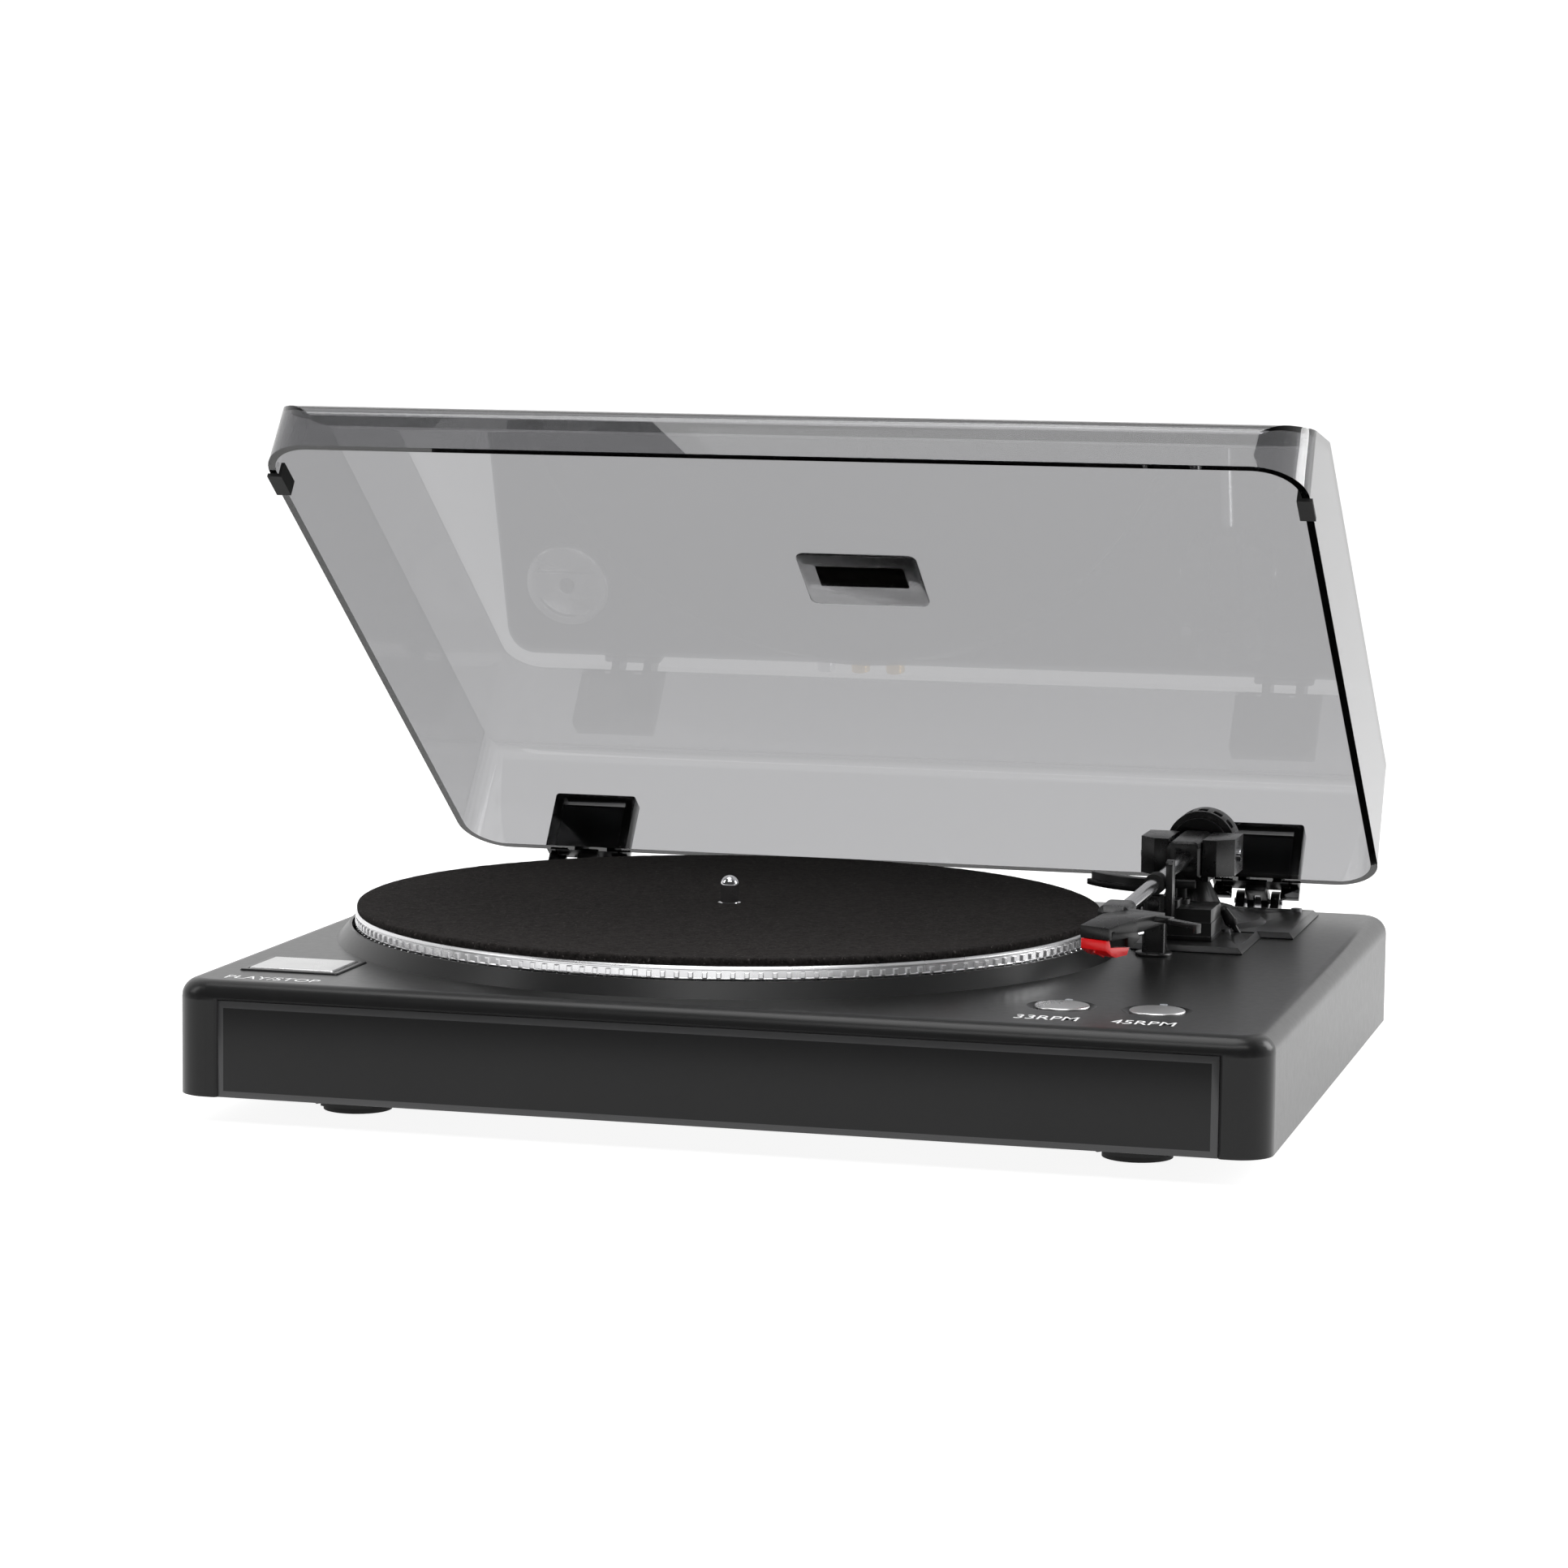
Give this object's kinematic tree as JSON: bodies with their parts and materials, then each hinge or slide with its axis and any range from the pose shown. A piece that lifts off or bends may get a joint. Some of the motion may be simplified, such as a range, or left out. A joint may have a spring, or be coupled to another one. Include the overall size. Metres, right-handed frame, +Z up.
{
  "type": "belt-drive turntable",
  "caption": "Record player with a felt-covered silver platter, straight tonearm with counterweight, deck push buttons and a hinged clear smoke dust cover standing open.",
  "frame": {"origin": "middle of the whole object's box in plan, at the bottom of the feet", "axes": "+Z up, +X to the right seen from the front, +Y to the rear where the cover is hinged"},
  "size_m": [0.4094, 0.3532, 0.2636],
  "materials": {
    "arm_black": "black moulded block",
    "arm_chrome": "satin chromed tube",
    "badge_grey": "printed plate",
    "black_case": "satin black moulded shell",
    "black_trim": "smooth black moulding",
    "bronze": "sintered bronze",
    "button_silver": "silver painted cap",
    "chrome": "polished",
    "component": "moulded packages",
    "dark_sheet": "dark fibreboard",
    "felt": "speckled felt",
    "gold": "plated contact",
    "led": "clear diffused",
    "motor_can": "plated can",
    "pcb": "green solder mask",
    "platter_silver": "turned silver casting",
    "rubber_black": "soft black rubber",
    "screw_steel": "zinc plated",
    "smoke": "clear smoke-grey moulding",
    "stylus_red": "bright red moulding"
  },
  "bodies": {
    "plinth": {"plinth_shell": "black_case", "front_panel": "black_trim", "bottom_plate": "dark_sheet", "feet": "black_case", "foot_pads": "rubber_black", "bottom_screws": "screw_steel", "bearing_housing": "black_case", "bearing_bush": "bronze", "motor": "motor_can", "drive_belt": "rubber_black", "play_bezel": "black_trim", "tact_switches": "component", "speed_lights": "led", "circuit_boards": "pcb", "board_components": "component", "rear_plate": "black_trim", "rca_jacks": "gold", "ground_post": "chrome", "slide_switch_case": "component", "power_inlet": "black_trim", "tonearm_base": "black_case", "chassis_screws": "screw_steel", "pivot_pedestal": "black_case", "yaw_bearings": "screw_steel", "lift_housing": "black_case", "cue_pivot_pin": "screw_steel", "arm_rest": "arm_black", "hinge_bases": "black_case", "hinge_pins": "chrome", "hinge_springs": "screw_steel", "rear_screws": "screw_steel"},
    "platter_unit": {"platter": "platter_silver", "platter_mat": "felt", "platter_spindle": "chrome"},
    "motor_rotor": {"motor_pulley": "bronze"},
    "play_button": {"play_stop_button": "button_silver"},
    "button_33": {"speed_button_33": "button_silver"},
    "button_45": {"speed_button_45": "button_silver"},
    "output_switch": {"slide_switch_knob": "black_trim"},
    "adapter": {"single_adapter": "button_silver"},
    "lifter": {"lift_bar": "black_trim"},
    "cue": {"cue_lever": "black_trim"},
    "clip": {"rest_clip": "black_trim"},
    "yoke": {"gimbal_yoke": "arm_black", "gimbal_pivots": "chrome"},
    "arm": {"arm_block": "arm_black", "arm_tube": "arm_chrome", "rest_collar": "rubber_black", "headshell": "arm_black", "cartridge_body": "black_trim", "cartridge_pins": "chrome", "stylus_holder": "stylus_red"},
    "weight_carrier": {"weight_bush": "black_trim"},
    "weight": {"counterweight": "arm_black", "weight_dial": "black_trim"},
    "cover": {"dust_cover": "smoke", "cover_bumpers": "rubber_black", "cover_badge": "badge_grey", "hinge_leaves": "black_case", "hinge_sockets": "black_trim"}
  },
  "joints": [
    {"name": "cover_hinge", "type": "hinge", "parent": "plinth", "child": "cover", "pos_m": [0, 0.16578, 0.0542], "axis": [-1, 0, 0], "range_deg": [-35.8, 24]},
    {"name": "platter_spin", "type": "hinge", "parent": "plinth", "child": "platter_unit", "pos_m": [-0.0381, -0.00492, 0.0647], "axis": [0, 0, 1], "continuous": true},
    {"name": "motor_spin", "type": "hinge", "parent": "plinth", "child": "motor_rotor", "pos_m": [-0.1173, -0.08412, 0.0502], "axis": [0, 0, 1], "continuous": true},
    {"name": "arm_swing", "type": "hinge", "parent": "plinth", "child": "yoke", "pos_m": [0.131, 0.08838, 0.0835], "axis": [0, 0, -1], "range_deg": [0, 45]},
    {"name": "arm_tilt", "type": "hinge", "parent": "yoke", "child": "arm", "pos_m": [0.131, 0.08838, 0.0835], "axis": [-1, 0, 0], "range_deg": [0, 12]},
    {"name": "counterweight_travel", "type": "slide", "parent": "arm", "child": "weight_carrier", "axis": [0, 0.9998, 0.0209], "range_m": [-0.002, 0.004]},
    {"name": "counterweight_turn", "type": "hinge", "parent": "weight_carrier", "child": "weight", "pos_m": [0.131, 0.11837, 0.08413], "axis": [0, 0.9998, 0.0209], "range_deg": [-360, 720]},
    {"name": "cue_turn", "type": "hinge", "parent": "plinth", "child": "cue", "pos_m": [0.1573, 0.06038, 0.0527], "axis": [0, 1, 0], "range_deg": [0, 60]},
    {"name": "arm_lift", "type": "slide", "parent": "plinth", "child": "lifter", "axis": [0, 0, -1], "range_m": [0, 0.004]},
    {"name": "clip_turn", "type": "hinge", "parent": "plinth", "child": "clip", "pos_m": [0.1246, 0.00538, 0.07516], "axis": [0, 1, 0], "range_deg": [0, 176]},
    {"name": "play_press", "type": "slide", "parent": "plinth", "child": "play_button", "axis": [0, 0, -1], "range_m": [0, 0.0012], "stiffness_N_per_m": 500, "springref_m": -0.001},
    {"name": "button_33_press", "type": "slide", "parent": "plinth", "child": "button_33", "axis": [0, 0, -1], "range_m": [0, 0.0012], "stiffness_N_per_m": 400, "springref_m": -0.001},
    {"name": "button_45_press", "type": "slide", "parent": "plinth", "child": "button_45", "axis": [0, 0, -1], "range_m": [0, 0.0012], "stiffness_N_per_m": 400, "springref_m": -0.001},
    {"name": "output_slide", "type": "slide", "parent": "plinth", "child": "output_switch", "axis": [1, 0, 0], "range_m": [0, 0.004]},
    {"name": "adapter_lift", "type": "slide", "parent": "plinth", "child": "adapter", "axis": [0, 0, 1], "range_m": [0, 0.03]}
  ],
  "couplings": [
    {"joint": "motor_spin", "follows": "platter_spin", "ratio": 14.167},
    {"joint": "counterweight_turn", "follows": "counterweight_travel", "rad_per_m": 3141.5},
    {"joint": "cue_turn", "follows": "arm_lift", "rad_per_m": 261.79}
  ]
}
